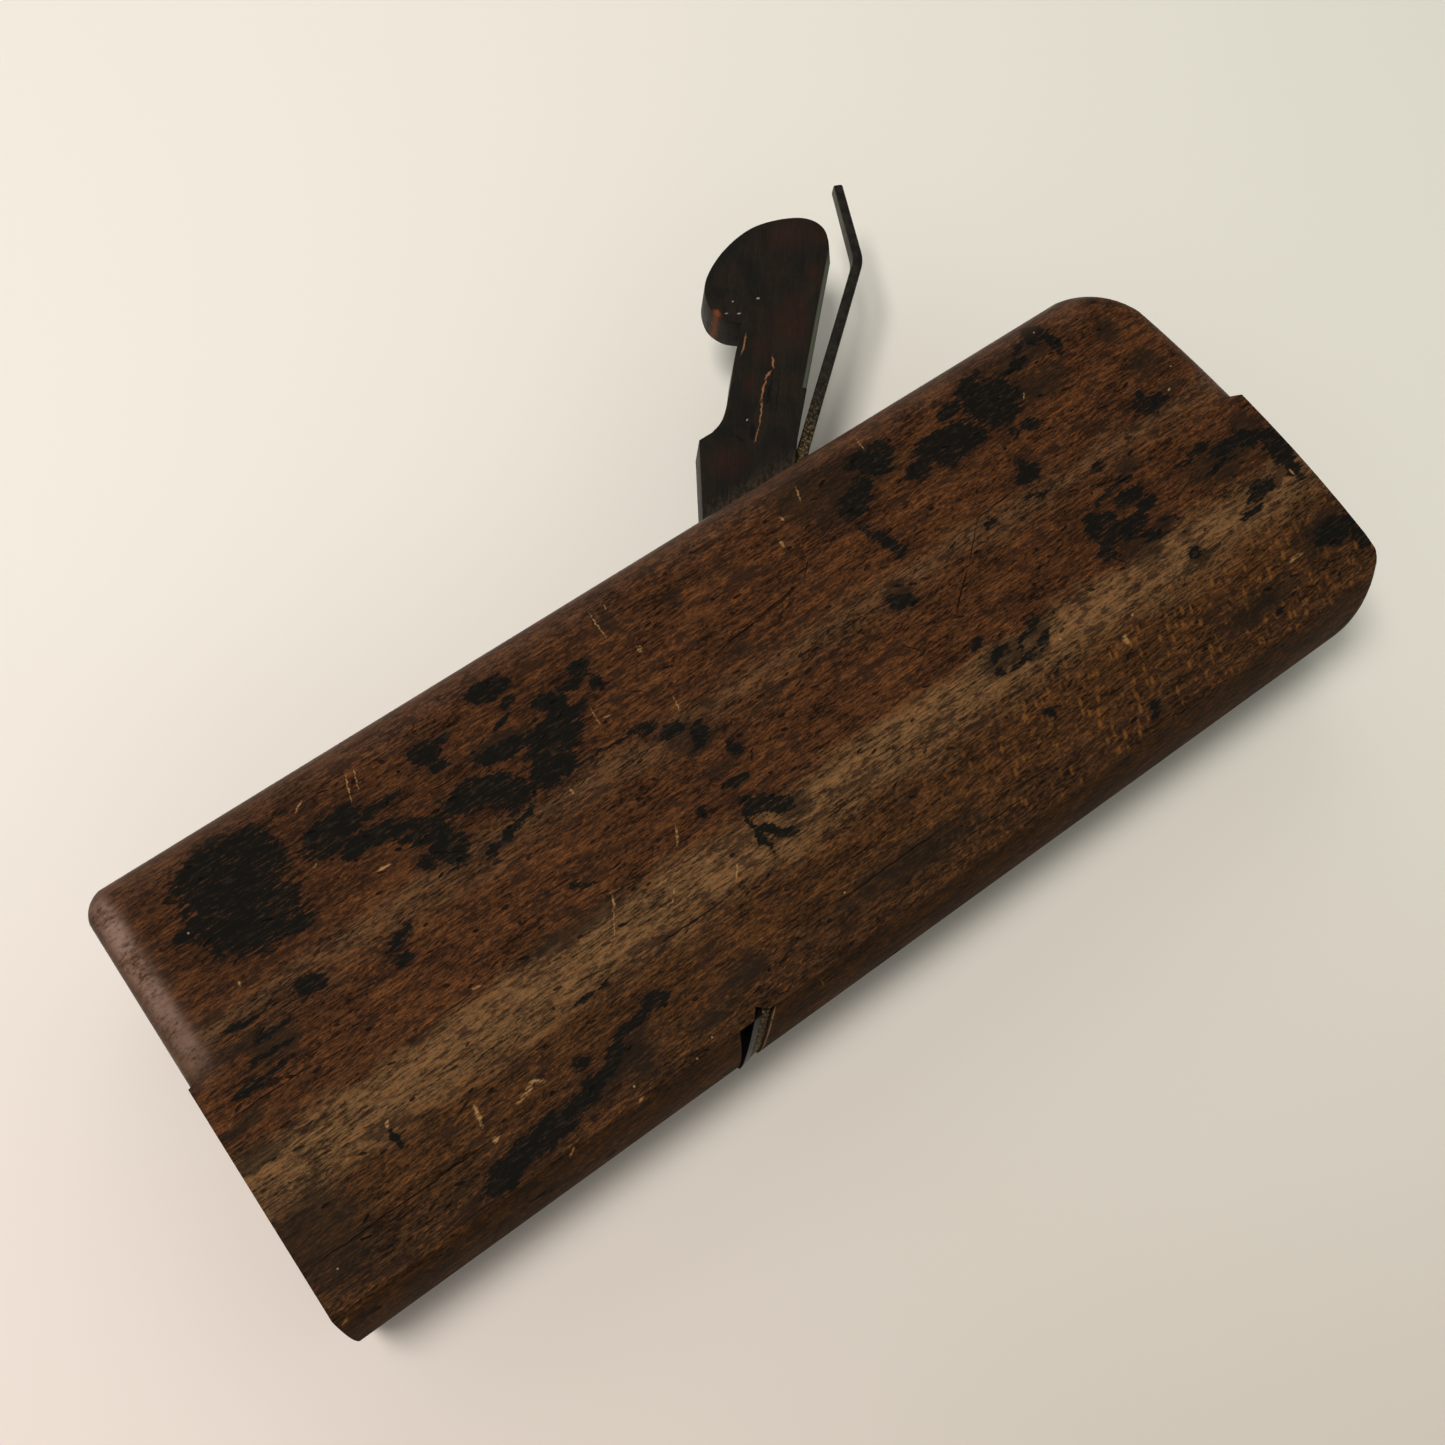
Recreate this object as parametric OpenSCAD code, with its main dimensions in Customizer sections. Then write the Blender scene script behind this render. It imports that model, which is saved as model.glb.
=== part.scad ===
// Side-escapement moulding plane, a large "round", lying on its escapement side.
// +X runs from toe to heel, +Y from the sole to the top, +Z through the thickness to the blind side.
// The origin lies on the resting face, at mid-length.

/* [Stock] */
// Length of the stock, toe to heel
stock_l = 241.3; // [200:0.1:280]
// Height of the stock, lowest line of the sole to the top
stock_h = 88; // [80:0.5:100]
// Thickness of the stock at the sole
sole_w = 38.1; // [32:0.1:45]
// Radius of the convex sole
sole_r = 44; // [36:0.5:70]
// Thickness of the grip above the step
grip_w = 29; // [26:0.5:32]
// Height of the step above the sole's lowest line
step_h = 49; // [44:0.5:56]
// Chamfer on the outer corner of the step
step_chamfer = 2.5; // [0.5:0.5:4]
// Fillet in the inner corner of the step
step_fillet = 2; // [0.5:0.5:3]
// Radius of the toe's top corner
toe_corner_r = 5.5; // [5.5:0.5:14]
// Radius of the heel's top corner
heel_corner_r = 17; // [8:0.5:24]
// Radius worn on the heel's lower corner
heel_foot_r = 6; // [2:0.5:10]
// Radius of the heel's slight bow
heel_bow_r = 300; // [200:10:900]
// Height of the fullest point of the heel's bow
heel_bow_y = 26; // [15:1:40]
// Radius of the rounded arrises round the grip
arris_r = 5; // [1:0.25:5.25]
// Slope of the gouge cut that ends each rounded arris
stop_slope = 22; // [0:1:40]

/* [Bed and mortise] */
// Pitch of the bed, from the sole
pitch = 49.5; // [47:0.5:52]
// Distance from the toe to the bed, at the sole
bed_x = 85; // [76:0.5:92]
// Slope of the mortise's front wall, from the sole
front_slope = 57; // [55:0.5:60]
// Length of the mortise along the top of the stock
mortise_l = 26.2; // [23:0.1:28]
// Width of the mortise
mortise_w = 9.3; // [7:0.1:11]
// Thickness of the cheek on the blind side
blind_cheek = 9.6; // [8:0.1:11]

/* [Mouth and escapement] */
// Length of the mouth along the sole
mouth_l = 4.9; // [4.8:0.1:8]
// Height that the mouth breaks out of the blind side, above the sole's arris
mouth_rise = -1; // [-2:0.1:1]
// Height of the escapement's round top
escape_top = 46; // [42:0.5:46]
// Slope of the escapement's front wall, from the sole
breast_slope = 78; // [70:1:84]
// Taper of the escapement's radius, right face to mortise
escape_taper = 3; // [0.5:0.5:5]

/* [Iron] */
// Thickness of the iron at its edge
iron_t = 3.1; // [2.6:0.1:3.6]
// Thickness of the tang where it leaves the stock
tang_t = 2.5; // [1.8:0.1:2.6]
// Thickness of the tang's tip
tip_t = 2.1; // [1:0.1:2.4]
// Width of the tang's tip
tip_w = 3; // [2:0.1:6]
// Length of the blade's straight right side
blade_l = 34; // [28:1:38]
// Length of the blade's straight blind side
blind_side_l = 0.5; // [0:0.5:8]
// Length of the sloping shoulders below the tang
shoulder_l = 16; // [12:1:22]
// Distance that the edge stands out of the sole
iron_set = 0.4; // [0:0.1:1]
// Clearance angle behind the edge
clearance_angle = 11; // [8:1:16]
// Length of the straight of the tang between its two bends
tang_l = 44.8; // [36:0.1:54]
// Slope of the tang above the stock, from the sole
tang_slope = 39; // [37:0.5:44]
// Length of the straight of the turned-up tip
tip_l = 17.3; // [10:0.1:24]
// Slope of the turned-up tip, from the sole
tip_slope = 66.5; // [50:0.5:75]
// Thickness of the steel laid on the front of the blade
steel_t = 1.1; // [0.6:0.1:1.5]
// Length of the steel facing
steel_l = 36; // [25:1:44]

/* [Wedge] */
// Thickness of the wedge
wedge_w = 9.1; // [6.5:0.1:10]
// Height of the wedge's lower tip above the sole
wedge_tip_y = 15; // [12:0.5:22]
// Height of the wedge's front shoulder above the top of the stock
shoulder_y = 16.7; // [12:0.1:24]
// Slope of the wedge's back edge above the stock, from the sole
back_slope = 44; // [43:0.5:46]
// Width of the bevel along the wedge's back edge
back_bevel_w = 1.2; // [0.4:0.1:1.6]

/* [Fit] */
// Clearance of the wedge and the iron in the stock
fit_gap = 0.1; // [0.05:0.01:0.2]
// Distance that the iron can be drawn back along the bed
draw_back = 2; // [1:0.1:2.5]
// Distance that the iron can be driven forward along the bed
drive_out = 1.2; // [0.5:0.1:1.5]

/* [Hidden] */
$fn = 96;
// Overrun of a cut past the face it opens in
over = 1;
// Distance of the blade's sides inside the stock's faces
side_gap = 0.25;
// Room in the stock behind the blade's shoulders, beyond the draw-back
shoulder_gap = 0.2;
// Width of the tang at the blade's shoulders
tang_w = mortise_w - 0.5;
// Length of the blade's slope on the blind side
blind_slope_l = 22;
// Distance of the escapement's cut from the bed, inside the blade's own slot
throat_inset = 1;
// Height where the mortise opens into the escapement
mortise_foot_y = 6;
// Radii of the two bends in the tang
bend_r = [22, 9];
// Round corners and arrises stand this little proud of tangent, so each crosses its neighbour cleanly
ease = 0.05;
// Steps in each bend, and in each span of the wedge's head
steps = 8;
// Length of the scarfed end of the steel facing
scarf_l = 4;
// Length of the wedge's leaning back edge
back_l = 43.5;
// Where the bevel on that edge stops, measured from the edge's lower end
bevel_stop = 12;
// Width of the wedge's cut-off tip
tip_land = 1.5;
// Height where the wedge's tongue begins to thin towards its tip
tongue_thin_y = 40;

// Height of the sole's arris
arris_y = sole_r - sqrt(sole_r * sole_r - sole_w * sole_w / 4);
// Height of the origin, at the middle of the resting face
rest_y = (arris_y + step_h - step_chamfer) / 2;
// Mortise walls through the thickness, and its middle
mortise_z1 = sole_w - blind_cheek;
mortise_z0 = mortise_z1 - mortise_w;
mortise_zc = (mortise_z0 + mortise_z1) / 2;
// Centre of the toe corner, of the heel's bow and of the heel corner, and the angle where those two meet
toe_c = [toe_corner_r - ease, stock_h - toe_corner_r + ease];
bow_c = [stock_l - heel_bow_r, heel_bow_y];
corner_dy = stock_h + ease - heel_corner_r - heel_bow_y;
corner_reach = heel_bow_r + 3 * ease - heel_corner_r;
corner_c = bow_c + [sqrt(corner_reach * corner_reach - corner_dy * corner_dy), corner_dy];
corner_a = asin(corner_dy / corner_reach);
// Centre of the heel's lower corner
foot_dy = heel_foot_r - heel_bow_y;
foot_c = [
    bow_c.x + sqrt(heel_bow_r * heel_bow_r - foot_dy * foot_dy) - heel_foot_r + 2 * ease,
    heel_foot_r - 2 * ease
];
// The bed's place along the sole, and the mortise's front wall, at a height y
function bed_at(y) = bed_x + y / tan(pitch);
function front_at(y) = bed_at(stock_h) - mortise_l - (stock_h - y) / tan(front_slope);
// A point given along the bed and out from it, in the stock's own plane
function from_bed(p) = [bed_x + p.x * cos(pitch) - p.y * sin(pitch), p.x * sin(pitch) + p.y * cos(pitch)];
// The same the other way round, for a point of the stock
function to_bed(q) = [
    (q.x - bed_x) * cos(pitch) + q.y * sin(pitch),
    q.y * cos(pitch) - (q.x - bed_x) * sin(pitch)
];
// Where the bed meets the top of the stock, and where the tang begins to bend
top_s = stock_h / sin(pitch);
bend_s = top_s + drive_out + 0.3;
// Distance of the iron's front face from the bed
function iron_front(s) = fit_gap + iron_t - (iron_t - tang_t) * s / bend_s;
// The cutting edge, at the middle of the sole
edge = from_bed([-(iron_set + (fit_gap + iron_t) * cos(pitch)) / sin(pitch), fit_gap + iron_t]);
// Escapement: the circle that touches the bed and the breast below the escapement's top
apex_y = -mouth_l / (1 / tan(pitch) - 1 / tan(breast_slope));
half_a = (breast_slope - pitch) / 2;
escape_d = (escape_top - apex_y) / (sin(pitch + half_a) + sin(half_a));
escape_c = [bed_at(apex_y), apex_y] + escape_d * [cos(pitch + half_a), sin(pitch + half_a)];
escape_r = escape_d * sin(half_a) - throat_inset;
// Rise of the blind side's sloping slot per unit of depth
blind_rise = blind_slope_l * sin(pitch) / blind_cheek;

// Points of a bend of radius r that turns from angle a0 to a1, starting at p: [x, y, angle]
function bend(p, a0, a1, r) = [
    for (i = [0:steps])
        let (a = a0 + (a1 - a0) * i / steps, k = sign(a1 - a0) * r)
        [p.x + k * (sin(a) - sin(a0)), p.y + k * (cos(a0) - cos(a)), a]
];
// The iron's back line above the stock: two bends and the straights between them
lower_bend = bend([bend_s, fit_gap], 0, tang_slope - pitch, bend_r[0]);
lower_end = lower_bend[steps];
upper_start = [lower_end.x, lower_end.y] + tang_l * [cos(lower_end.z), sin(lower_end.z)];
upper_bend = bend(upper_start, tang_slope - pitch, tip_slope - pitch, bend_r[1]);
upper_end = upper_bend[steps];
tip_end = [upper_end.x, upper_end.y] + tip_l * [cos(upper_end.z), sin(upper_end.z)];
back_line = concat(lower_bend, upper_bend, [[tip_end.x, tip_end.y, upper_end.z]]);
// The tang's thickness thins evenly from where it leaves the stock to its tip
function tang_thick(x) = tang_t + (tip_t - tang_t) * (x - bend_s) / (tip_end.x - bend_s);

// A smooth curve through knots: each span runs from its second point to its third
function span(a, b, c, d, t) =
    0.5 * (2 * b + (c - a) * t + (2 * a - 5 * b + 4 * c - d) * t * t + (3 * b - a - 3 * c + d) * t * t * t);
function smooth(k) = [
    for (i = [0:len(k) - 2], j = [0:steps - 1])
        span(k[max(i - 1, 0)], k[i], k[i + 1], k[min(i + 2, len(k) - 1)], j / steps)
];

module on_bed() translate([bed_x, 0, 0]) rotate([0, 0, pitch]) children();

// End section of the stock: convex sole, flat blind side and the stepped grip
module section() {
    grip_z = sole_w - grip_w;
    difference() {
        union() {
            intersection() {
                translate([sole_r, sole_w / 2]) circle(sole_r);
                square([step_h, sole_w]);
            }
            translate([step_h - over, grip_z]) square([stock_h - step_h + over, grip_w]);
            difference() {
                translate([step_h - over, grip_z - step_fillet]) square([step_fillet + over, step_fillet + over]);
                translate([step_h + step_fillet, grip_z - step_fillet]) circle(step_fillet, $fn = 32);
            }
        }
        polygon([
            [step_h - step_chamfer - over, -over],
            [step_h + over, step_chamfer + over],
            [step_h + over, -over]
        ]);
    }
}

// Side outline of the stock: bowed heel, two round corners at the top and a worn one at the sole
module outline() {
    tangent_y = corner_c.y + heel_corner_r * sin(corner_a);
    difference() {
        intersection() {
            square([stock_l, stock_h]);
            translate(bow_c) circle(heel_bow_r, $fn = 720);
        }
        difference() {
            translate([-over, toe_c.y]) square([toe_c.x + over, toe_corner_r + over]);
            translate(toe_c) circle(toe_corner_r);
        }
        difference() {
            translate([corner_c.x, tangent_y]) square(heel_corner_r + over);
            translate(corner_c) circle(heel_corner_r);
        }
        difference() {
            translate([foot_c.x, -over]) square([heel_foot_r + over, foot_c.y + over]);
            translate(foot_c) circle(heel_foot_r);
        }
    }
}

// What a rounded arris takes off, outside an edge at the origin
module arris_waste(proud) {
    difference() {
        translate([-arris_r, -arris_r]) square(arris_r + over);
        translate([proud - arris_r, proud - arris_r]) circle(arris_r);
    }
}

// The same waste round a curve of radius r, from angle a0 to a1
module arris_turn(r, a0, a1, proud) {
    rotate([0, 0, a0]) rotate_extrude(angle = a1 - a0) translate([r, 0]) arris_waste(proud);
}

// One rounded arris up the toe, along the top and down the heel, ended by gouge cuts at stop_y
module arris_cut(stop_y) {
    rise = tan(stop_slope);
    inner = arris_r + 2 * over;
    start_a = asin((stop_y - over - heel_bow_y) / heel_bow_r);
    intersection() {
        translate([0, 0, -arris_r - over]) linear_extrude(arris_r + 3 * over) polygon([
            [-2 * over, stop_y - 2 * over * rise],
            [inner, stop_y + inner * rise],
            [stock_l - inner, stop_y + inner * rise],
            [stock_l + 2 * over, stop_y - 2 * over * rise],
            [stock_l + 2 * over, stock_h + 2 * over],
            [-2 * over, stock_h + 2 * over]
        ]);
        union() {
            translate([0, stop_y - over, 0]) rotate([90, 0, 180])
                linear_extrude(toe_c.y + toe_corner_r / 2 - stop_y + over) arris_waste(ease);
            translate(toe_c) arris_turn(toe_corner_r, 90, 180, 2 * ease);
            translate([toe_c.x - toe_corner_r / 2, stock_h, 0]) rotate([90, 0, 90])
                linear_extrude(corner_c.x - toe_c.x + toe_corner_r / 2 + heel_corner_r / 3) arris_waste(ease);
            translate(corner_c) arris_turn(heel_corner_r, corner_a, 90, 2 * ease);
            translate(bow_c) arris_turn(heel_bow_r, start_a, corner_a + 1, ease);
        }
    }
}

// The blade and tang seen square to the bed, grown by side and shifted up the bed by shift
module iron_plan(side, shift) {
    half = tang_w / 2 + side;
    tip = tip_w / 2 + side;
    polygon([
        [-12, side_gap - side],
        [blade_l + shift, side_gap - side],
        [blade_l + shoulder_l + shift, mortise_zc - half],
        [tip_end.x + over, mortise_zc - tip],
        [tip_end.x + over, mortise_zc + tip],
        [blind_side_l + blind_slope_l + shift, mortise_zc + half],
        [blind_side_l + shift, sole_w - side_gap + side],
        [-12, sole_w - side_gap + side]
    ]);
}

// The slot that the blade lies in, open at the sole and at both faces
module blade_slot() {
    on_bed() rotate([90, 0, 0]) mirror([0, 0, 1]) linear_extrude(iron_t + 2 * fit_gap + 0.1)
        intersection() {
            iron_plan(side_gap + over, draw_back + shoulder_gap);
            translate([-20, -over]) square([20 + blade_l + shoulder_l + draw_back + 4, sole_w + 2 * over]);
        }
}

// The tapered mortise for the wedge and the tang
module mortise() {
    on_bed() translate([0, 0, mortise_z0]) linear_extrude(mortise_w) polygon([
        to_bed([front_at(mortise_foot_y), mortise_foot_y]),
        to_bed([front_at(stock_h + over), stock_h + over]),
        [(stock_h + over) / sin(pitch), 0],
        [mortise_foot_y / sin(pitch), 0]
    ]);
}

// The mouth ahead of the blade, under a ceiling that slopes down to the blind side
module mouth() {
    ceiling_y = arris_y + mouth_rise;
    deep_y = ceiling_y + blind_cheek * blind_rise;
    breast = 1 / tan(breast_slope);
    intersection() {
        translate([0, 0, -over]) linear_extrude(sole_w + 2 * over) polygon([
            [bed_x - mouth_l - over * breast, -over],
            [bed_x - mouth_l + deep_y * breast, deep_y],
            [bed_at(deep_y) - over, deep_y],
            [bed_at(-over) - over, -over]
        ]);
        rotate([90, 0, 90]) linear_extrude(stock_l) polygon([
            [-2 * over, -2 * over],
            [-2 * over, sole_w + 2 * over],
            [ceiling_y - over * blind_rise, sole_w + over],
            [deep_y, mortise_z1],
            [deep_y, -2 * over]
        ]);
    }
}

// The escapement: a round-topped funnel from the right face in to the mortise
module escapement() {
    hull() {
        escape_slice(-over, escape_r);
        escape_slice(mortise_z1 - 0.01, escape_r - escape_taper);
    }
}

module escape_slice(z, r) {
    translate([0, 0, z]) linear_extrude(0.01) {
        translate(escape_c) circle(r, $fn = 48);
        translate([bed_x - mouth_l, -over]) square([mouth_l - 2 * throat_inset, 0.01]);
    }
}

module stock() {
    color("#5d3a26") difference() {
        intersection() {
            rotate([90, 0, 90]) linear_extrude(stock_l) section();
            linear_extrude(sole_w) outline();
        }
        translate([0, 0, sole_w]) arris_cut(step_h);
        translate([0, 0, sole_w - grip_w]) mirror([0, 0, 1]) arris_cut(step_h + step_fillet + 0.4);
        mortise();
        blade_slot();
        mouth();
        escapement();
    }
}

// Side view of the iron along the bed: taper, two bends and a turned-up tip
module iron_side() {
    front_line = [
        for (p = back_line)
            [p.x, p.y] + tang_thick(p.x) * [-sin(p.z), cos(p.z)]
    ];
    last = len(back_line) - 1;
    polygon(concat(
        [[-12, fit_gap]],
        [for (p = back_line) [p.x, p.y]],
        [for (i = [last:-1:0]) front_line[i]],
        [[-12, iron_front(-12)]]
    ));
}

// The zone of the steel facing in that view, with a scarfed upper end
module steel_zone() {
    polygon([
        [-12 - over, iron_front(-12) + over],
        [steel_l + over * scarf_l / steel_t, iron_front(steel_l) + over],
        [steel_l - scarf_l, iron_front(steel_l - scarf_l) - steel_t],
        [-12 - over, iron_front(-12) - steel_t]
    ]);
}

// What is left of a blade by the sole's curve, leaned up behind the edge by the clearance angle
module ground_edge() {
    translate([edge.x, edge.y, sole_w / 2]) rotate([0, 0, clearance_angle]) rotate([90, 0, 90])
        translate([0, 0, -60]) linear_extrude(260) {
            translate([sole_r, 0]) circle(sole_r);
            translate([sole_r, -sole_r]) square([200, 2 * sole_r]);
        }
}

// A blade made from a side view, the plan on the bed and the ground edge
module blade() {
    intersection() {
        on_bed() translate([0, 0, -over]) linear_extrude(sole_w + 2 * over) children();
        on_bed() rotate([90, 0, 0]) mirror([0, 0, 1]) translate([0, 0, -40]) linear_extrude(90) iron_plan(0, 0);
        ground_edge();
    }
}

module iron() {
    color("#6b5a45") blade() difference() {
        iron_side();
        steel_zone();
    }
}

module steel_face() {
    color("#8a8a86") blade() intersection() {
        iron_side();
        steel_zone();
    }
}

// The wedge's back leaves the iron only where the bent tang, drawn back, leaves it as fast
shoulder = [front_at(stock_h + shoulder_y) + fit_gap, stock_h + shoulder_y];
tip_s = wedge_tip_y / sin(pitch);
lean_s = bend_s + draw_back + bend_r[0] * tan(max(pitch - back_slope, 1));
lean_start = from_bed([lean_s, iron_front(lean_s) + fit_gap]);
lean_end = lean_start + back_l * [cos(back_slope), sin(back_slope)];
head = smooth([
    lean_end,
    shoulder + [51.4, 26.3],
    shoulder + [48.5, 31.4],
    shoulder + [39.3, 34.6],
    shoulder + [30, 33.3],
    shoulder + [22.4, 29.2],
    shoulder + [19.6, 23.9],
    shoulder + [20.5, 19.6],
    shoulder + [23.1, 17]
]);
neck = smooth([
    shoulder + [23.1, 17],
    shoulder + [17, 11.3],
    shoulder + [11.9, 5.9],
    shoulder + [6.9, 1.4],
    shoulder + [3.2, 0]
]);
wedge_tip = from_bed([tip_s, iron_front(tip_s) + fit_gap]);
wedge_outline = concat(
    [wedge_tip, lean_start],
    head,
    neck,
    [
        shoulder + [3.2, 0],
        shoulder,
        [front_at(stock_h + 2) + fit_gap, stock_h + 2],
        [front_at(tongue_thin_y) + fit_gap, tongue_thin_y],
        wedge_tip + [-tip_land, 0]
    ]
);

// Bevel along the wedge's leaning back edge, in the face z = 0, stopped above the stock
module back_bevel() {
    translate(lean_start) rotate([0, 0, back_slope]) translate([bevel_stop, 0, 0])
        rotate([90, 0, 90]) linear_extrude(back_l) polygon([
            [-over, -over],
            [back_bevel_w + over, -over],
            [-over, back_bevel_w + over]
        ]);
}

module wedge() {
    color("#2c211b") translate([0, 0, mortise_zc - wedge_w / 2]) difference() {
        linear_extrude(wedge_w) polygon(wedge_outline);
        back_bevel();
        translate([0, 0, wedge_w]) mirror([0, 0, 1]) back_bevel();
    }
}

module placed() translate([-stock_l / 2, -rest_y, 0]) children();

placed() stock();
placed() wedge();
placed() iron();
placed() steel_face();
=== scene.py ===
"""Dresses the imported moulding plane: worn beech stock and wedge, forged iron and a pale stage."""

import math

import bmesh
import bpy
from mathutils import Euler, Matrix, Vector


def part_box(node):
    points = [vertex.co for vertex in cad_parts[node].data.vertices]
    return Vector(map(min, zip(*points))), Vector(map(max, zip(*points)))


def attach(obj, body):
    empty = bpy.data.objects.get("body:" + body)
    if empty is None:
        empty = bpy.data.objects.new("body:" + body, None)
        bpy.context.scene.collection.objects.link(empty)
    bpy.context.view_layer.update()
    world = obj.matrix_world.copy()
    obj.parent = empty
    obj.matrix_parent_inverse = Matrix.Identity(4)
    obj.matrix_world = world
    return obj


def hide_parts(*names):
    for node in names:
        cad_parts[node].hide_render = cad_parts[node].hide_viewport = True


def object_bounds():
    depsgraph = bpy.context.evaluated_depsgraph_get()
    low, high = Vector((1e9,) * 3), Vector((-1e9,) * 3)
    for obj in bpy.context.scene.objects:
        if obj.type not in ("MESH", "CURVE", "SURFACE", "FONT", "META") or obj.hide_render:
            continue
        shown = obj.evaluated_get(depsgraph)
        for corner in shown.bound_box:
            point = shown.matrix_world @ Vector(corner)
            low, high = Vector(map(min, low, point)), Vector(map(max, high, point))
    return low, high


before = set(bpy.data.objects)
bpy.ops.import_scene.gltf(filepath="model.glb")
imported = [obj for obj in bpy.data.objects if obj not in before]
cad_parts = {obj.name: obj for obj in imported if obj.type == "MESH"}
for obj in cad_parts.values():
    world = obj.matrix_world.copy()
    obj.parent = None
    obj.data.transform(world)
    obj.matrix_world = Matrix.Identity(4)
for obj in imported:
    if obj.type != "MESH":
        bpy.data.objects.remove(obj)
CAD_BOX = [list(corner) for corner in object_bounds()]

bl_info = {
    "name": "Moulding plane looks",
    "version": (1, 0, 0),
    "blender": (4, 5, 0),
    "location": "3D View > Sidebar > Plane",
    "description": "Worn beech, forged iron and a pale stage for a side-escapement moulding plane",
    "category": "Object",
}

MM = 0.001
# The toe and the sole's lowest line, in the frame's millimetres
TOE_X = CAD_BOX[0][0] / MM
SOLE_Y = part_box("stock")[0].y / MM
STOCK_H = 88.0
# Slope of the bed in degrees, and where it meets the sole
PITCH = 49.5
BED_X = 85.0
# The wedge's and the stock's upper faces, in millimetres above the table
WEDGE_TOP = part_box("wedge")[1].z / MM
FACE_Z = CAD_BOX[1][2] / MM


def on_stock(x, y, z=FACE_Z):
    """A point given from the toe and the sole, in the frame's millimetres."""
    return Vector((x + TOE_X, y + SOLE_Y, z))


def srgb(red, green, blue):
    """A display colour, 0 to 255, as the linear colour that shaders take."""
    return tuple(
        c / 12.92 if c <= 0.04045 else ((c + 0.055) / 1.055) ** 2.4
        for c in (red / 255, green / 255, blue / 255)
    )


# ---------------------------------------------------------------- shader maths


class Field:
    """A shader socket that takes part in plain arithmetic."""

    def __init__(self, shader, socket):
        self.shader = shader
        self.socket = socket

    def op(self, operation, *others):
        return self.shader.math(operation, self, *others)

    def __add__(self, other):
        return self.op("ADD", other)

    __radd__ = __add__

    def __sub__(self, other):
        return self.op("SUBTRACT", other)

    def __rsub__(self, other):
        return self.shader.math("SUBTRACT", other, self)

    def __mul__(self, other):
        return self.op("MULTIPLY", other)

    __rmul__ = __mul__

    def __truediv__(self, other):
        return self.op("DIVIDE", other)

    def lower(self, other):
        return self.op("MINIMUM", other)

    def higher(self, other):
        return self.op("MAXIMUM", other)

    def step(self, low, high):
        """0 below low and 1 above high, smooth between; the other way round where low is the higher."""
        flip = low > high
        ramp = self.shader.node(
            "ShaderNodeMapRange",
            {"interpolation_type": "SMOOTHSTEP"},
            {
                "Value": self,
                "From Min": min(low, high),
                "From Max": max(low, high),
                "To Min": 1.0 if flip else 0.0,
                "To Max": 0.0 if flip else 1.0,
            },
        )
        return Field(self.shader, ramp.outputs[0])


class Graph:
    """A node tree under construction."""

    def __init__(self, tree):
        self.tree = tree

    def node(self, kind, settings=None, values=None):
        """Adds a node: its settings first, then the values or links of its sockets."""
        made = self.tree.nodes.new(kind)
        for key, value in (settings or {}).items():
            if key == "stops":
                ramp = made.color_ramp
                while len(ramp.elements) < len(value):
                    ramp.elements.new(1)
                for element, (position, colour) in zip(ramp.elements, value):
                    element.position = position
                    element.color = (*colour, 1)
            else:
                setattr(made, key, value)
        for key, value in (values or {}).items():
            if isinstance(value, Field):
                self.tree.links.new(value.socket, made.inputs[key])
            else:
                made.inputs[key].default_value = value
        return made

    def math(self, operation, *operands):
        made = self.node("ShaderNodeMath", {"operation": operation}, dict(enumerate(operands)))
        return Field(self, made.outputs[0])

    def vector(self, operation, *operands, **sockets):
        values = dict(enumerate(operands))
        values.update(sockets)
        made = self.node("ShaderNodeVectorMath", {"operation": operation}, values)
        return Field(self, made.outputs["Value" if operation == "LENGTH" else "Vector"])

    def split(self, vector):
        made = self.node("ShaderNodeSeparateXYZ", None, {0: vector})
        return [Field(self, made.outputs[i]) for i in range(3)]


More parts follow.
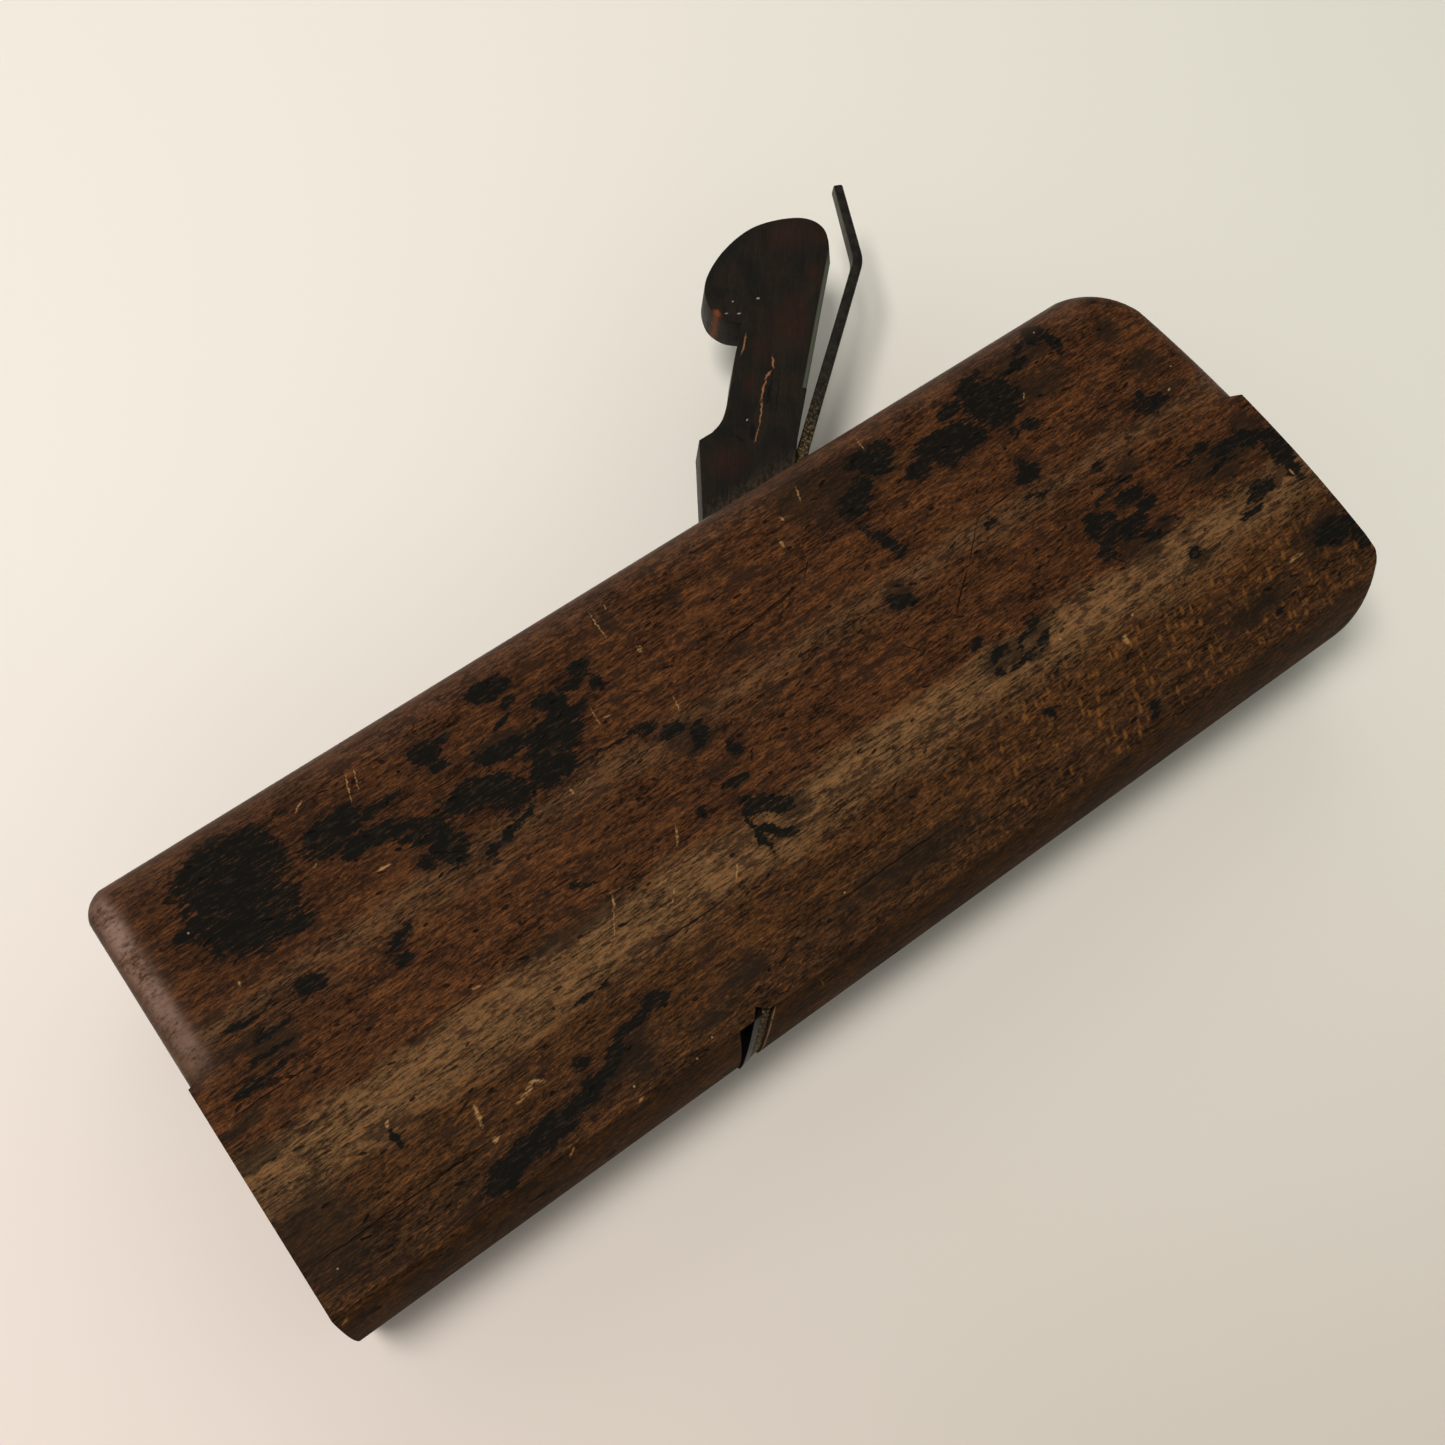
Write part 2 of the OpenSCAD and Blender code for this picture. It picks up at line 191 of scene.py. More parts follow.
class Shader(Graph):
    """A material or a world under construction, with coordinates in the frame's millimetres."""

    def __init__(self, name, kind="materials", coordinates="Object"):
        self.material = getattr(bpy.data, kind).new(name)
        self.material.use_nodes = True
        super().__init__(self.material.node_tree)
        self.tree.nodes.clear()
        place = Field(self, self.node("ShaderNodeTexCoord").outputs[coordinates])
        self.place = self.vector("SCALE", place, Scale=1 / MM)
        self.x, self.y, self.z = self.split(self.place)
        self.done = None

    def mapped(self, centre, angle=0.0, size=(1, 1, 1), at=None):
        """The place measured from a centre, turned by angle degrees about Z and divided by size."""
        values = {
            "Vector": at or self.place,
            "Location": centre,
            "Rotation": (0, 0, math.radians(angle)),
            "Scale": size,
        }
        return Field(self, self.node("ShaderNodeMapping", {"vector_type": "TEXTURE"}, values).outputs[0])

    def noise(self, size, detail=3.0, rough=0.5, at=None, seed=0.0):
        """Fractal noise about 0.5, with features of the given size in millimetres along X, Y and Z."""
        where = self.mapped((seed * 31.7, seed * 17.3, seed * 9.1), 0, size, at)
        values = {"Vector": where, "Scale": 1.0, "Detail": detail, "Roughness": rough}
        return Field(self, self.node("ShaderNodeTexNoise", None, values).outputs["Fac"])

    def shifted(self, size, reach):
        """The place moved about by up to half the reach, in swirls of the given size."""
        where = self.mapped((0, 0, 0), 0, size)
        values = {"Vector": where, "Scale": 1.0, "Detail": 5.0, "Roughness": 0.66}
        swirl = self.node("ShaderNodeTexNoise", None, values)
        swing = self.vector("SUBTRACT", Field(self, swirl.outputs["Color"]), (0.5, 0.5, 0.5))
        return self.vector("MULTIPLY_ADD", swing, (reach, reach, 0), self.place)

    def cells(self, size, at=None, seed=0.0):
        """Voronoi cells of the given size: distance to the nearest point, and the cell's own number."""
        where = self.mapped((seed * 31.7, seed * 17.3, seed * 9.1), 0, size, at)
        made = self.node("ShaderNodeTexVoronoi", {"feature": "F1"}, {"Vector": where, "Scale": 1.0})
        own = self.split(Field(self, made.outputs["Color"]))[0]
        return Field(self, made.outputs["Distance"]), own

    def ramp(self, value, stops):
        made = self.node("ShaderNodeValToRGB", {"stops": stops}, {0: value})
        return Field(self, made.outputs[0])

    def mix(self, factor, first, second, blend="MIX"):
        settings = {"data_type": "RGBA", "blend_type": blend, "clamp_factor": True}
        first = first if isinstance(first, Field) else (*first, 1)
        second = second if isinstance(second, Field) else (*second, 1)
        return Field(self, self.node("ShaderNodeMix", settings, {0: factor, 6: first, 7: second}).outputs[2])

    def brightness(self, colour, amount):
        """A colour times a number that changes over the surface."""
        return self.vector("SCALE", colour, Scale=amount)

    def marks(self, places, wander=None):
        """Least distance to a list of ovals (x, y, half length, half width, angle): 1 at their rims."""
        place = wander or self.place
        least = None
        for number, (x, y, length, width, angle) in enumerate(places):
            if number % 10 == 0 and self.done is not None:
                # A link too weak to move anything: Cycles then works out the ovals ten at a time,
                # because it has no room for all of them at once
                place = self.vector("MULTIPLY_ADD", self.done, (1e-9, 1e-9, 1e-9), wander or self.place)
            reach = self.vector("LENGTH", self.mapped(on_stock(x, y, 0), angle, (length, width, 400), place))
            least = reach if least is None else least.lower(reach)
            self.done = least
        return least

    def surface(self, colour, roughness, height, metallic=0.0, specular=0.5):
        """Ends the material in one Principled surface, with height in millimetres."""
        bump = self.node("ShaderNodeBump", None, {"Strength": 1.0, "Distance": MM, "Height": height})
        values = {
            "Base Color": colour,
            "Roughness": roughness,
            "Metallic": metallic,
            "Normal": Field(self, bump.outputs[0]),
            "Specular IOR Level": specular,
        }
        made = self.node("ShaderNodeBsdfPrincipled", None, values)
        out = self.node("ShaderNodeOutputMaterial")
        self.tree.links.new(made.outputs[0], out.inputs[0])
        return self.material


# ---------------------------------------------------------------- Geometry Nodes, in metres


class Growth(Graph):
    """A Geometry Nodes tree under construction, with one geometry in, one out and named inputs."""

    def __init__(self, name, numbers):
        super().__init__(bpy.data.node_groups.new(name, "GeometryNodeTree"))
        sockets = self.tree.interface
        sockets.new_socket("Geometry", in_out="INPUT", socket_type="NodeSocketGeometry")
        sockets.new_socket("Geometry", in_out="OUTPUT", socket_type="NodeSocketGeometry")
        for title, value in numbers.items():
            kind = "NodeSocketInt" if isinstance(value, int) else "NodeSocketFloat"
            sockets.new_socket(title, in_out="INPUT", socket_type=kind).default_value = value
        sockets.new_socket("Material", in_out="INPUT", socket_type="NodeSocketMaterial")
        self.start = self.node("NodeGroupInput")

    def given(self, title):
        return Field(self, self.start.outputs[title])

    def made(self, kind, settings=None, values=None, output=0):
        return Field(self, self.node(kind, settings, values).outputs[output])

    def random(self, low, high, seed):
        return self.made("FunctionNodeRandomValue", None, {2: low, 3: high, "Seed": seed}, 1)

    def finish(self, geometry):
        """Ends the tree in real geometry with the material given."""
        real = self.made("GeometryNodeRealizeInstances", None, {"Geometry": geometry})
        coated = self.made("GeometryNodeSetMaterial", None, {"Geometry": real, "Material": self.given("Material")})
        self.tree.links.new(coated.socket, self.node("NodeGroupOutput").inputs[0])
        return self.tree


def groove_tree():
    """Turns paths into jagged tubes that thin out at both ends; each point has its own half_width."""
    g = Growth("grooves", {"Jag": 0.9 * MM, "Step": 0.8 * MM, "Seed": 4.0})
    path = g.made("GeometryNodeMeshToCurve", None, {"Mesh": g.given("Geometry")})
    path = g.made("GeometryNodeResampleCurve", {"mode": "LENGTH"}, {"Curve": path, "Length": g.given("Step")})
    noise = g.node(
        "ShaderNodeTexNoise", {"noise_dimensions": "4D"}, {"W": g.given("Seed"), "Scale": 420, "Detail": 3}
    )
    swing = g.vector("SUBTRACT", Field(g, noise.outputs["Color"]), (0.5, 0.5, 0.5))
    swing = g.vector("MULTIPLY", g.vector("SCALE", swing, Scale=g.given("Jag")), (1, 1, 0))
    path = g.made("GeometryNodeSetPosition", None, {"Geometry": path, "Offset": swing})
    along = g.made("GeometryNodeSplineParameter")
    taper = 1.05 - (along * 2 - 1).op("POWER", 4)
    width = g.made("GeometryNodeInputNamedAttribute", {"data_type": "FLOAT"}, {"Name": "half_width"})
    ring = g.made("GeometryNodeCurvePrimitiveCircle", None, {"Resolution": 6, "Radius": 1.0})
    sockets = {
        "Curve": path,
        "Profile Curve": ring,
        "Scale": width * taper * (0.4 + Field(g, noise.outputs["Fac"]) * 1.2),
        "Fill Caps": True,
    }
    return g.finish(g.made("GeometryNodeCurveToMesh", None, sockets))


def dent_tree():
    """Strews long, shallow dents over faces, their length roughly along X."""
    g = Growth("dents", {"Density": 9000.0, "Length": 0.9 * MM, "Width": 0.26 * MM, "Slant": 0.4, "Seed": 7})
    spread = {
        "Mesh": g.given("Geometry"),
        "Density Max": g.given("Density"),
        "Distance Min": g.given("Length") * 3,
        "Seed": g.given("Seed"),
    }
    points = g.made("GeometryNodeDistributePointsOnFaces", {"distribute_method": "POISSON"}, spread)
    turn = g.made("ShaderNodeCombineXYZ", None, {"Z": g.random(-1.0, 1.0, 1) * g.given("Slant")})
    size = {
        "X": g.given("Length") * g.random(0.35, 1.4, 2),
        "Y": g.given("Width") * g.random(0.5, 1.5, 3),
        "Z": g.given("Width") * g.random(0.4, 0.9, 4),
    }
    sockets = {
        "Points": points,
        "Instance": g.made("GeometryNodeMeshIcoSphere", None, {"Radius": 1.0, "Subdivisions": 2}),
        "Rotation": g.made("FunctionNodeEulerToRotation", None, {0: turn}),
        "Scale": g.made("ShaderNodeCombineXYZ", None, size),
    }
    return g.finish(g.made("GeometryNodeInstanceOnPoints", None, sockets))


# ---------------------------------------------------------------- the marks of use, in millimetres
# Each mark is an oval: x from the toe, y from the sole, half length, half width and angle.

TAR = [
    (24, 76.5, 9.6, 6.8, 0), (24, 68, 8.4, 5.8, -8), (14.5, 72, 3.2, 1.8, 0), (29, 62.6, 3.2, 1.4, 0),
    (24.5, 81.2, 9.8, 1.8, 0), (41.5, 73.6, 6.2, 3, 6), (51, 72.8, 4.5, 0.7, 4),
    (47.5, 68.8, 6.4, 1.5, -4), (55, 65.2, 6, 2.8, -28), (57.6, 60.4, 2.8, 4.6, 12),
    (65.5, 65.5, 7, 2.3, 0), (72, 61.6, 3.8, 3.2, -38), (53, 59.5, 1.7, 1.5, 0), (67.5, 55.8, 7, 0.9, 16),
    (63.3, 76.6, 3.2, 1.8, -32), (66.5, 77, 2.4, 0.9, 10), (64.3, 73.2, 1.7, 1, 0),
    (79.6, 80.6, 4, 1.8, -10), (78, 74, 2, 0.6, 24), (80.6, 76.6, 1.7, 0.9, 0),
    (84.5, 66.3, 7, 4.3, 28), (81, 61.8, 5, 2.4, 8), (75.5, 69.3, 5.4, 1.6, -8),
    (87.2, 72.4, 3.6, 1.8, -28), (95.3, 74.7, 2.5, 1.9, 40), (92.2, 72.8, 2.5, 0.8, -20),
    (96.5, 71, 1, 1.6, 0), (90, 59.2, 9, 0.35, 0), (99, 58.3, 1.9, 1.2, -35), (102.4, 55.4, 3.1, 1, -4),
    (106.4, 51.8, 2.2, 1.6, 40), (110.6, 46.6, 1.6, 1.4, -40), (107, 41, 2.3, 0.9, -4),
    (107.2, 35.4, 3.4, 2, -20), (111, 33.2, 2.4, 1.4, -30), (104.5, 31, 0.6, 4.6, 0),
    (107.7, 29.2, 3.6, 0.9, -42), (98.3, 39.8, 0.9, 1.3, 0), (25.4, 53, 3.4, 1.1, -14), (27.2, 51.8, 1.4, 1.1, 0),
    (42.3, 51.3, 2.7, 0.8, 12), (40.6, 49.8, 3.2, 0.4, 6), (40.5, 47.3, 1.7, 1, -24), (23.5, 22.5, 0.9, 1.7, -6),
    (36, 7.6, 5, 2.2, 14), (45, 9, 8.4, 2.1, 3), (55, 11.1, 7.4, 1.2, 14), (60.5, 13, 3.3, 1.2, 36),
    (67, 16, 5.6, 1.2, 12), (72.5, 16.9, 2.2, 1.5, 0), (55.7, 15.6, 1.4, 1, 0), (62, 24.2, 2.2, 0.6, 0),
    (66.5, 24.1, 1.3, 0.5, 0), (154, 52, 2.7, 1.2, -26), (160.2, 74.4, 4.4, 2.4, 24), (167.5, 79.6, 5, 2.6, -8),
    (168, 77.2, 3, 1.8, 20), (181.5, 74.4, 7, 2.6, 2), (173.6, 72.2, 2.9, 2, 10), (184.2, 71.9, 6, 2.6, 8),
    (195.6, 76, 6, 4.8, -12), (193.5, 81.9, 3.8, 1.1, 20), (204, 79.6, 3.8, 0.8, 6), (207.6, 82.8, 2.6, 0.6, 22),
    (212.4, 83.4, 2.2, 2, 0), (215, 80.2, 1.5, 2.6, 0), (199, 68, 2.1, 1.1, -16), (195, 68.4, 1.1, 0.8, 0),
    (191.2, 59.8, 3.1, 2.2, 8), (191.9, 62.2, 1.2, 1.2, 0), (178.6, 55.6, 1.5, 0.6, 12), (190.6, 55.2, 2.6, 0.4, -15),
    (222.6, 58, 3.8, 1.8, -4), (222.4, 60, 1, 1.2, 0), (197, 42.2, 3.8, 3.7, -35), (194.6, 38.4, 1.9, 1.8, 0),
    (201.8, 39.4, 3.7, 1.9, 0), (205.6, 44.8, 3.6, 1.6, 12), (207.5, 41.4, 2.7, 1.2, 4), (204, 47.8, 6, 0.6, 8),
    (205, 53.2, 1.4, 0.6, 20), (229, 31.4, 4.2, 1.5, 10), (238.4, 31, 1.6, 2.7, 0), (238.6, 36.4, 2.6, 4.6, 0),
    (224.5, 28.3, 3.2, 0.5, 10), (209, 28.2, 1.5, 1.2, 55), (236.4, 16.4, 5.4, 2.4, 0), (239.4, 12, 1.6, 2, 0),
    (158.6, 64.4, 1, 4, 22), (160.4, 60, 2, 0.5, 0), (160.6, 37.7, 1.6, 0.7, 30), (164, 18.7, 1.1, 0.9, 0),
    (181, 7.7, 1.9, 0.8, 32), (215, 9, 1.2, 0.6, 0), (72, 41.7, 1.1, 0.8, 30), (73.6, 40.6, 2, 0.3, -8),
    (163, 33.4, 2.4, 0.8, 20), (170.5, 33.8, 3.6, 0.8, 24), (172.5, 31.2, 2.6, 0.7, 24), (166, 29.6, 3, 0.6, 10),
    (161, 30.4, 1.2, 0.8, 0), (231, 42.4, 5, 1.3, 4), (223.6, 44.8, 4.4, 0.8, 8), (225, 39.6, 3.6, 0.7, 4),
    (235.4, 40.6, 3.4, 1.6, 0), (203.4, 36.2, 4.4, 0.6, -24), (209, 36.6, 2.4, 0.4, -20), (186.8, 79.2, 3.6, 0.9, 10),
    (16.6, 49.4, 3.4, 0.9, 0), (14.4, 46.8, 3, 0.7, 0), (10, 43.6, 5, 0.5, 0), (12, 53.6, 4, 0.5, 0),
]
FILM = [
    (16, 48, 4.4, 3.4, 0), (5, 39.2, 4, 1.4, 10), (5, 17, 8, 9, 0), (8, 50.5, 9, 1.2, 2), (3, 33, 7, 2, 0),
    (104.6, 52.2, 5, 2.8, -20), (106, 44.9, 4, 1.5, 0), (113.2, 31, 3.4, 2.4, 0), (105, 79, 1.8, 3, 0),
    (117.6, 76.8, 2.4, 1.1, 0), (128.6, 77, 3.2, 1, 0), (123, 61.4, 1.9, 1.8, 0), (119.5, 50.5, 3, 0.7, 0),
    (152, 79, 9, 6.5, -28), (163, 79, 9, 4.4, -8), (206, 74.4, 7, 3.4, 0), (206, 81, 9, 2.6, 0),
    (209.5, 50, 3.6, 1.7, 22), (200.4, 34.6, 4.4, 3.8, -20), (205, 35, 5, 1.4, 10), (228, 40.2, 11, 3.4, 0),
    (229, 59, 3.6, 1.4, 0), (236, 43, 4, 4, 0), (163, 32.4, 5.8, 2.5, 0), (172.4, 32.3, 4.8, 1.8, 22),
    (168.4, 29.4, 2.4, 1.4, 0), (235, 17, 7, 3.8, 0), (88, 11.8, 4, 2.3, -5), (125, 11.3, 17, 3, 0),
    (64, 8.3, 2.4, 1.2, 0), (78.5, 8.6, 3.4, 1.5, 0), (37, 3.4, 2.4, 1.1, 0), (62, 11.8, 7, 2.4, 12),
    (213, 12.4, 10, 2.6, 0), (226, 76, 3, 3, 0), (228, 66, 4, 3.4, 0), (84.5, 19.3, 2.4, 0.8, -8),
    (154, 53, 3.4, 2.6, -20), (67, 34.8, 12, 1.6, 0), (208, 26.4, 6, 0.8, 0), (75, 70.8, 7, 2, -6),
]
SCRATCHES = [
    (48.9, 78.6, 3, 0.14, 70), (50.8, 79.2, 2.4, 0.12, 72), (40, 80.5, 1.5, 0.14, 30), (103, 79.8, 3.4, 0.16, 88),
    (106.8, 71.8, 0.5, 0.9, 0), (92.6, 65.4, 1.9, 0.13, 84), (94.4, 64.2, 0.9, 0.13, -10),
    (106.4, 59.5, 1.7, 0.16, 80),
    (97.3, 27.6, 1.9, 0.2, 50), (85, 29.9, 1.9, 0.2, 42), (92, 38.8, 2.2, 0.22, 60), (74, 32.4, 4, 0.12, 58),
    (141.8, 74.5, 0.4, 1, 0), (144.8, 78.5, 0.35, 0.6, 30), (45, 16.6, 2.3, 0.5, 16), (47.8, 17, 1.5, 0.5, -30),
    (36.6, 18, 0.4, 2.2, -12), (37, 13.2, 0.9, 0.45, 20), (36.8, 69.9, 0.5, 0.4, 0), (46.4, 63, 1.5, 0.32, -4),
    (15.8, 59.4, 0.3, 0.6, 0), (48.2, 36.4, 1, 0.3, -10), (1.2, 3.2, 0.9, 0.3, 20), (23.6, 25.6, 0.9, 0.4, 60),
    (185.4, 21.8, 0.6, 1.2, -24), (225.4, 16, 2.2, 0.3, 4), (237.3, 30.6, 0.35, 0.8, 10), (150.6, 81, 1.7, 0.2, 70),
    (167.4, 83.2, 1.7, 0.16, 86), (106.2, 82, 1, 0.14, 80), (81.2, 56.2, 0.2, 1, 0), (99, 2.2, 1.8, 0.12, -60),
    (201.8, 73.6, 0.9, 0.14, 60), (60.4, 4.4, 1, 0.25, 20), (46, 4, 1, 0.2, 30), (76, 35.6, 0.2, 1.4, -20),
]
NICKS = [
    (13.2, 71.8, 0.24, 0.22, 0), (5, 10.8, 0.22, 0.2, 0), (60.7, 7, 0.24, 0.22, 0), (110.8, 13.3, 0.24, 0.18, 0),
    (189.8, 25, 0.36, 0.22, 30), (174.7, 29, 0.34, 0.2, 0), (228.2, 58.5, 0.5, 0.24, 20), (212.8, 83.8, 0.24, 0.2, 0),
    (232, 62.4, 0.2, 0.2, 0), (76.4, 6.1, 0.2, 0.2, 0), (72.2, 4.6, 0.2, 0.2, 0),
]
# Cracks as (x, y, half length, half width, angle)
CRACKS = [
    (124, 63.8, 5.2, 0.2, 5), (134, 65, 5.4, 0.3, 7), (142.6, 67.6, 2.4, 0.12, 42), (150, 71.6, 6, 0.1, 22),
    (165, 47.4, 5, 0.2, 38), (173, 54, 5.4, 0.11, 41), (182, 58, 5.6, 0.16, 4), (149.8, 43.4, 2.2, 0.14, -48),
    (20, 13.4, 20, 0.16, 0), (8, 4.3, 9, 0.2, 0), (134.6, 24.6, 0.16, 1, -14), (155.4, 22.8, 0.14, 1.3, 12),
    (62, 70, 5, 0.14, 0), (43, 35.8, 7, 0.13, 2), (10, 41, 10, 0.14, 0), (112, 43.4, 1.3, 0.14, 55),
    (101.6, 65.2, 1.8, 0.12, -30), (92, 60.8, 4, 0.1, -20), (57, 59, 3.4, 0.12, -30), (28, 5, 12, 0.1, 1),
    (195.2, 35, 2.4, 0.12, -55), (140, 8.6, 12, 0.12, 0), (120, 12.6, 16, 0.14, 0), (85, 24.4, 8, 0.16, 0),
]


def worn_beech(look):
    """Old beech of the stock: coloured bands, tar-like stains, flecks, cracks darkened with dirt and painted shade,
    and a hand-polished grip with painted sheen and highlights.
    """
    s = Shader("worn_beech")
    y = s.y - SOLE_Y
    x = s.x - TOE_X
    wander = s.noise((9, 5, 9), 4, 0.6)
    wander_fine = s.noise((1.6, 0.7, 1.6), 4, 0.7, seed=1)
    fibre = s.noise((3.2, 0.38, 0.38), 4, 0.75, seed=2)
    streak = s.noise((17, 1.6, 1.6), 5, 0.7, seed=3)
    figure = s.noise((120, 5.5, 5.5), 3, 0.5, seed=4)
    blotch = s.noise((13, 7, 8), 5, 0.66, seed=5)
    speck = s.noise((0.95, 0.5, 0.5), 4, 0.75, seed=6)

    # Bands that follow the grain
    height = (y + (wander - 0.5) * 8 + (figure - 0.5) * 6) / STOCK_H
    bands = [
        (0.0, look.sole_brown), (0.10, look.sole_brown), (0.16, look.orange_brown), (0.24, look.orange_brown),
        (0.30, look.tan_band), (0.375, look.tan_band), (0.42, look.red_brown), (0.56, look.red_brown),
        (0.63, look.grey_band), (0.68, look.red_brown), (0.90, look.red_brown), (0.955, look.grip_brown),
        (1.0, look.grip_brown),
    ]
    colour = s.ramp(height, [(at, tuple(c)) for at, c in bands])
    # Fibres, streaks and blotches change the depth of colour
    depth = 0.05 + fibre.step(0.34, 0.66) * 1.4 + (streak - 0.5) * 2.5
    depth = depth + (blotch - 0.5) * 2.2 + speck.step(0.35, 0.65) * 0.7
    colour = s.brightness(colour, depth.higher(0.15).lower(2.6))
    bright = streak.step(0.44, 0.64) * (fibre * 0.6 + speck * 0.4).step(0.5, 0.62) * blotch.step(0.36, 0.58)
    colour = s.mix(bright * 0.85, colour, look.bright_grain)

    # Short pits where the surface has been torn, dark inside, and bright splinters beside them
    slant = s.mapped((0, 0, 0), 9)
    torn_grain = s.noise((1.7, 0.42, 0.5), 3, 0.62, slant, seed=11)
    in_band = height.step(0.26, 0.32) * height.step(0.43, 0.37)
    pit = torn_grain.step(0.55, 0.63) * blotch.step(0.66, 0.42) * (1 - in_band * 0.55)
    splinter = torn_grain.step(0.44, 0.35) * blotch.step(0.4, 0.54)
    colour = s.mix(pit * 0.85, colour, srgb(17, 12, 9))
    colour = s.mix(splinter * 0.7, colour, look.bright_grain)

    # Ray flecks, plentiful low down towards the heel
    fleck_place = s.mapped((0, 0, 0), 62, (1, 1, 1))
    near, own = s.cells((2.6, 1.15, 1.4), fleck_place, seed=7)
    fleck = near.step(0.5, 0.2) * own.step(0.55, 0.66) * wander_fine.step(0.36, 0.5)
    zone = x.step(118, 160) * y.step(29, 21) * y.step(3.5, 6)
    colour = s.mix(fleck * (zone * 0.5 + 0.07), colour, look.fleck)
    dark_fleck = near.step(0.5, 0.15) * own.step(0.34, 0.22) * wander_fine.step(0.4, 0.5)
    colour = s.mix(dark_fleck * (zone * 0.5 + 0.2), colour, srgb(30, 18, 12))
    smudge = (s.noise((5.5, 1.7, 3), 5, 0.72, seed=8) + (blotch - 0.5) * 0.6).step(0.52, 0.63)
    colour = s.mix(smudge * 0.72, colour, look.smudge)
    pores = speck.step(0.6, 0.7) * blotch.step(0.6, 0.4)
    colour = s.mix(pores * 0.7, colour, srgb(20, 14, 11))

    # Stains belong to the upper face; other faces have loose ones of their own
    face = s.z.step(FACE_Z - 6, FACE_Z - 2.5)
    ragged = (wander_fine - 0.5) * 1.1 + (fibre - 0.5) * 1.1 + (speck - 0.5) * 0.5
    torn = s.shifted((4.6, 2.0, 4), 5.2)
    tar_reach = s.marks(TAR, torn) + ragged + (blotch - 0.5) * 0.9
    tar = tar_reach.step(1.22, 0.98) * face
    halo = tar_reach.step(2.4, 1.0) * face
    film = (s.marks(FILM, torn) + ragged).step(1.45, 0.6) * face
    loose = s.noise((13, 6, 7), 5, 0.62, seed=9) + ragged * 0.06
    tar = tar.higher(loose.step(0.63, 0.65) * (1 - face))
    colour = s.mix(halo * 0.36, colour, look.stain_rim)
    colour = s.mix(film * 0.68, colour, look.film)
    tar_colour = s.mix((wander_fine * 0.5 + fibre * 0.5).step(0.5, 0.66), look.tar, look.tar_grey)
    worn_off = (fibre * 0.6 + speck * 0.4).step(0.52, 0.62) * wander.step(0.4, 0.56)
    colour = s.mix(tar * (0.98 - worn_off * 0.6), colour, tar_colour)

    # Cracks, scratches and tiny nicks; the insides of the cut cracks and dents are darkened, dirt and painted shade
    # together
    fine_torn = s.shifted((2.4, 1.2, 2), 1.3)
    inner = y.step(6, 7) * y.step(84, 83) * x.step(2, 3) * x.step(239, 238)
    inner = inner * (1 - x.step(12, 10) * y.step(44, 48)) * (1 - x.step(228, 231) * y.step(44, 48))
    # dirt and painted shade: faces a little below the upper face, inside the cracks and dents, are darkened
    crack = s.z.step(FACE_Z - 0.015, FACE_Z - 0.09) * s.z.step(FACE_Z - 2, FACE_Z - 1) * inner
    scratch = s.marks(SCRATCHES, fine_torn).step(1.2, 0.5) * face
    nick = s.marks(NICKS).step(1.1, 0.6) * face
    colour = s.mix(crack * 0.75, colour, srgb(14, 10, 8))
    colour = s.mix(scratch * (fibre * 0.5 + speck * 0.5).step(0.42, 0.56) * 0.8, colour, look.bare_wood)
    colour = s.mix(nick * 0.7, colour, look.nick)

    # Smooth hand-polished arrises with painted sheen, a painted highlight on the toe's round, painted shade on the
    # sole strip and a painted highlight on the mouth's lip
    toe_round_zone = x.step(8.5, 4) * y.step(46, 54) * y.step(88, 82) * s.z.step(FACE_Z - 12, FACE_Z - 4)
    toe_ridge_highlight = toe_round_zone * x.step(0.2, 2.6) * x.step(6.4, 3.8) * (wander_fine + wander).step(0.75, 1.15)
    polish_and_sheen = toe_round_zone.higher(y.step(82, 87)).higher(x.step(233, 239) * y.step(46, 54))
    # painted sheen: the worn arrises of the toe, the top and the heel are lightened as if they caught the light,
    # besides their real polish
    colour = s.mix(polish_and_sheen * (0.28 + blotch * 0.2), colour, look.polish_and_sheen)
    # painted highlight along the ridge of the toe's round, where it faces the light
    colour = s.mix(toe_ridge_highlight * (y.step(48, 80) * 0.5 + 0.4), colour, look.toe_highlight)
    # painted shade: the sole's curve below the arris is darkened and its colour deepened by multiplying
    strip = y.step(5.2, 3.4)
    colour = s.mix(strip * 0.9, colour, look.sole_shade, "MULTIPLY")
    # painted highlight: a pale line along the edge where the bed meets the sole
    lip_highlight = x - BED_X - y / math.tan(math.radians(PITCH))
    lip_highlight = lip_highlight.step(-0.1, 0.05) * lip_highlight.step(0.42, 0.25) * y.step(4.2, 3.6) * wander_fine.step(0.35, 0.5)
    colour = s.mix(lip_highlight * 0.4, colour, look.lip_highlight)

    rough = 0.58 + tar * 0.1 - polish_and_sheen * 0.2 + strip * 0.14 + (wander_fine - 0.5) * 0.16
    ease = 1 - polish_and_sheen * 0.75
    relief = (fibre * 0.1 + speck * 0.08 + wander_fine * 0.14) * ease + wander * 0.24
    return s.surface(colour, rough, relief, specular=0.04)


